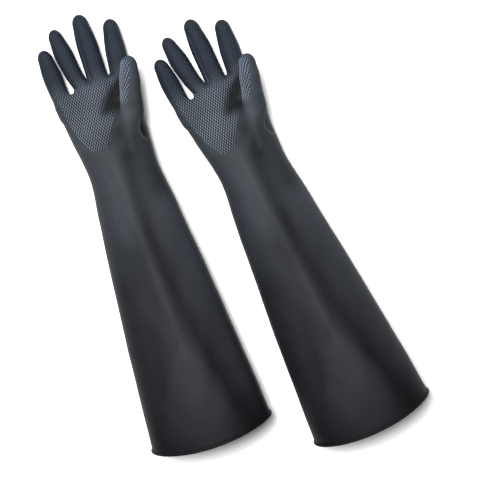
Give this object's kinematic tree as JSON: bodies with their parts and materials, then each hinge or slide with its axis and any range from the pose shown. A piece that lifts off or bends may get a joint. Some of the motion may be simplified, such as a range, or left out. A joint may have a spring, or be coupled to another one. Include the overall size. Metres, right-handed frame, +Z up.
{
  "type": "pair of long rubber gauntlet gloves",
  "caption": "Pair of long black rubber gauntlets with flared sleeves, a rolled bead at the opening and a grip pattern on palm and fingers, lying palm up.",
  "frame": {"origin": "centre of the pair on the table plane, under the middle of its overall box", "axes": "+Z up off the table, +Y from the sleeve openings to the fingertips, +X across the pair toward the second glove and toward the thumbs"},
  "size_m": [0.3802, 0.6622, 0.1064],
  "materials": {
    "hand": "matt slate black with a moulded grip net",
    "sleeve": "smooth satin black",
    "bead": "smooth satin black"
  },
  "bodies": {
    "glove_a_forearm": {"glove_a_forearm_sleeve": "sleeve"},
    "glove_a_upper": {"glove_a_upper_sleeve": "sleeve", "glove_a_cuff_bead": "bead"},
    "glove_a_palm": {"glove_a_hand": "hand"},
    "glove_a_little_root_body": {"glove_a_little_root": "hand"},
    "glove_a_little_end_body": {"glove_a_little_end": "hand"},
    "glove_a_ring_root_body": {"glove_a_ring_root": "hand"},
    "glove_a_ring_end_body": {"glove_a_ring_end": "hand"},
    "glove_a_middle_root_body": {"glove_a_middle_root": "hand"},
    "glove_a_middle_end_body": {"glove_a_middle_end": "hand"},
    "glove_a_index_root_body": {"glove_a_index_root": "hand"},
    "glove_a_index_end_body": {"glove_a_index_end": "hand"},
    "glove_a_thumb_root_body": {"glove_a_thumb_root": "hand"},
    "glove_a_thumb_end_body": {"glove_a_thumb_end": "hand"},
    "glove_b_forearm": {"glove_b_forearm_sleeve": "sleeve"},
    "glove_b_upper": {"glove_b_upper_sleeve": "sleeve", "glove_b_cuff_bead": "bead"},
    "glove_b_palm": {"glove_b_hand": "hand"},
    "glove_b_little_root_body": {"glove_b_little_root": "hand"},
    "glove_b_little_end_body": {"glove_b_little_end": "hand"},
    "glove_b_ring_root_body": {"glove_b_ring_root": "hand"},
    "glove_b_ring_end_body": {"glove_b_ring_end": "hand"},
    "glove_b_middle_root_body": {"glove_b_middle_root": "hand"},
    "glove_b_middle_end_body": {"glove_b_middle_end": "hand"},
    "glove_b_index_root_body": {"glove_b_index_root": "hand"},
    "glove_b_index_end_body": {"glove_b_index_end": "hand"},
    "glove_b_thumb_root_body": {"glove_b_thumb_root": "hand"},
    "glove_b_thumb_end_body": {"glove_b_thumb_end": "hand"}
  },
  "joints": [
    {"name": "glove_a_elbow_flex", "type": "hinge", "parent": "glove_a_forearm", "child": "glove_a_upper", "pos_m": [-0.09486, -0.11708, 0.08268], "axis": [-0.9977, 0.068, 0], "range_deg": [0, 25], "stiffness_Nm_per_rad": 0.5},
    {"name": "glove_a_wrist_flex", "type": "hinge", "parent": "glove_a_forearm", "child": "glove_a_palm", "pos_m": [-0.07827, 0.11933, 0.056], "axis": [0.9977, -0.068, 0], "range_deg": [0, 30], "stiffness_Nm_per_rad": 0.35},
    {"name": "glove_a_little_root_flex", "type": "hinge", "parent": "glove_a_palm", "child": "glove_a_little_root_body", "pos_m": [-0.12052, 0.24148, 0.02391], "axis": [0.999, -0.0445, 0], "range_deg": [0, 35], "stiffness_Nm_per_rad": 0.03},
    {"name": "glove_a_little_middle_flex", "type": "hinge", "parent": "glove_a_little_root_body", "child": "glove_a_little_end_body", "pos_m": [-0.11927, 0.26945, 0.02429], "axis": [0.999, -0.0445, 0], "range_deg": [0, 45], "stiffness_Nm_per_rad": 0.02},
    {"name": "glove_a_ring_root_flex", "type": "hinge", "parent": "glove_a_palm", "child": "glove_a_ring_root_body", "pos_m": [-0.09056, 0.24706, 0.02329], "axis": [0.9977, 0.0685, 0], "range_deg": [0, 35], "stiffness_Nm_per_rad": 0.03},
    {"name": "glove_a_ring_middle_flex", "type": "hinge", "parent": "glove_a_ring_root_body", "child": "glove_a_ring_end_body", "pos_m": [-0.09275, 0.27898, 0.0224], "axis": [0.9977, 0.0685, 0], "range_deg": [0, 45], "stiffness_Nm_per_rad": 0.02},
    {"name": "glove_a_middle_root_flex", "type": "hinge", "parent": "glove_a_palm", "child": "glove_a_middle_root_body", "pos_m": [-0.06317, 0.24509, 0.02438], "axis": [0.9963, -0.0856, 0], "range_deg": [0, 35], "stiffness_Nm_per_rad": 0.03},
    {"name": "glove_a_middle_middle_flex", "type": "hinge", "parent": "glove_a_middle_root_body", "child": "glove_a_middle_end_body", "pos_m": [-0.06021, 0.27946, 0.02348], "axis": [0.9963, -0.0856, 0], "range_deg": [0, 45], "stiffness_Nm_per_rad": 0.02},
    {"name": "glove_a_index_root_flex", "type": "hinge", "parent": "glove_a_palm", "child": "glove_a_index_root_body", "pos_m": [-0.03195, 0.24165, 0.02433], "axis": [0.9821, -0.1883, 0], "range_deg": [0, 35], "stiffness_Nm_per_rad": 0.03},
    {"name": "glove_a_index_middle_flex", "type": "hinge", "parent": "glove_a_index_root_body", "child": "glove_a_index_end_body", "pos_m": [-0.02677, 0.26866, 0.02374], "axis": [0.9821, -0.1883, 0], "range_deg": [0, 45], "stiffness_Nm_per_rad": 0.02},
    {"name": "glove_a_thumb_root_flex", "type": "hinge", "parent": "glove_a_palm", "child": "glove_a_thumb_root_body", "pos_m": [-0.03949, 0.20561, 0.0485], "axis": [-0.0583, -0.1635, 0.9848], "range_deg": [0, 15], "stiffness_Nm_per_rad": 0.03},
    {"name": "glove_a_thumb_middle_flex", "type": "hinge", "parent": "glove_a_thumb_root_body", "child": "glove_a_thumb_end_body", "pos_m": [-0.02917, 0.23176, 0.053], "axis": [-0.0583, -0.1635, 0.9848], "range_deg": [0, 35], "stiffness_Nm_per_rad": 0.02},
    {"name": "glove_b_lift", "type": "slide", "parent": "glove_a_forearm", "child": "glove_b_forearm", "axis": [0, 0, 1], "range_m": [0, 0.15]},
    {"name": "glove_b_elbow_flex", "type": "hinge", "parent": "glove_b_forearm", "child": "glove_b_upper", "pos_m": [0.09669, -0.18058, 0.08268], "axis": [-0.9983, -0.0586, 0], "range_deg": [0, 25], "stiffness_Nm_per_rad": 0.5},
    {"name": "glove_b_wrist_flex", "type": "hinge", "parent": "glove_b_forearm", "child": "glove_b_palm", "pos_m": [0.08326, 0.05604, 0.056], "axis": [0.9983, 0.0586, 0], "range_deg": [0, 30], "stiffness_Nm_per_rad": 0.35},
    {"name": "glove_b_little_root_flex", "type": "hinge", "parent": "glove_b_palm", "child": "glove_b_little_root_body", "pos_m": [0.02592, 0.17187, 0.02391], "axis": [0.9966, 0.0821, 0], "range_deg": [0, 35], "stiffness_Nm_per_rad": 0.03},
    {"name": "glove_b_little_middle_flex", "type": "hinge", "parent": "glove_b_little_root_body", "child": "glove_b_little_end_body", "pos_m": [0.02362, 0.19978, 0.02429], "axis": [0.9966, 0.0821, 0], "range_deg": [0, 45], "stiffness_Nm_per_rad": 0.02},
    {"name": "glove_b_ring_root_flex", "type": "hinge", "parent": "glove_b_palm", "child": "glove_b_ring_root_body", "pos_m": [0.05494, 0.18119, 0.02329], "axis": [0.981, 0.194, 0], "range_deg": [0, 35], "stiffness_Nm_per_rad": 0.03},
    {"name": "glove_b_ring_middle_flex", "type": "hinge", "parent": "glove_b_ring_root_body", "child": "glove_b_ring_end_body", "pos_m": [0.04873, 0.21258, 0.0224], "axis": [0.981, 0.194, 0], "range_deg": [0, 45], "stiffness_Nm_per_rad": 0.02},
    {"name": "glove_b_middle_root_flex", "type": "hinge", "parent": "glove_b_palm", "child": "glove_b_middle_root_body", "pos_m": [0.08236, 0.1827, 0.02438], "axis": [0.9992, 0.0409, 0], "range_deg": [0, 35], "stiffness_Nm_per_rad": 0.03},
    {"name": "glove_b_middle_middle_flex", "type": "hinge", "parent": "glove_b_middle_root_body", "child": "glove_b_middle_end_body", "pos_m": [0.08094, 0.21717, 0.02348], "axis": [0.9992, 0.0409, 0], "range_deg": [0, 45], "stiffness_Nm_per_rad": 0.02},
    {"name": "glove_b_index_root_flex", "type": "hinge", "parent": "glove_b_palm", "child": "glove_b_index_root_body", "pos_m": [0.11376, 0.18323, 0.02433], "axis": [0.998, -0.0627, 0], "range_deg": [0, 35], "stiffness_Nm_per_rad": 0.03},
    {"name": "glove_b_index_middle_flex", "type": "hinge", "parent": "glove_b_index_root_body", "child": "glove_b_index_end_body", "pos_m": [0.11548, 0.21068, 0.02374], "axis": [0.998, -0.0627, 0], "range_deg": [0, 45], "stiffness_Nm_per_rad": 0.02},
    {"name": "glove_b_thumb_root_flex", "type": "hinge", "parent": "glove_b_palm", "child": "glove_b_thumb_root_body", "pos_m": [0.11083, 0.14652, 0.0485], "axis": [-0.0372, -0.1695, 0.9848], "range_deg": [0, 15], "stiffness_Nm_per_rad": 0.03},
    {"name": "glove_b_thumb_middle_flex", "type": "hinge", "parent": "glove_b_thumb_root_body", "child": "glove_b_thumb_end_body", "pos_m": [0.11777, 0.17377, 0.053], "axis": [-0.0372, -0.1695, 0.9848], "range_deg": [0, 35], "stiffness_Nm_per_rad": 0.02}
  ]
}
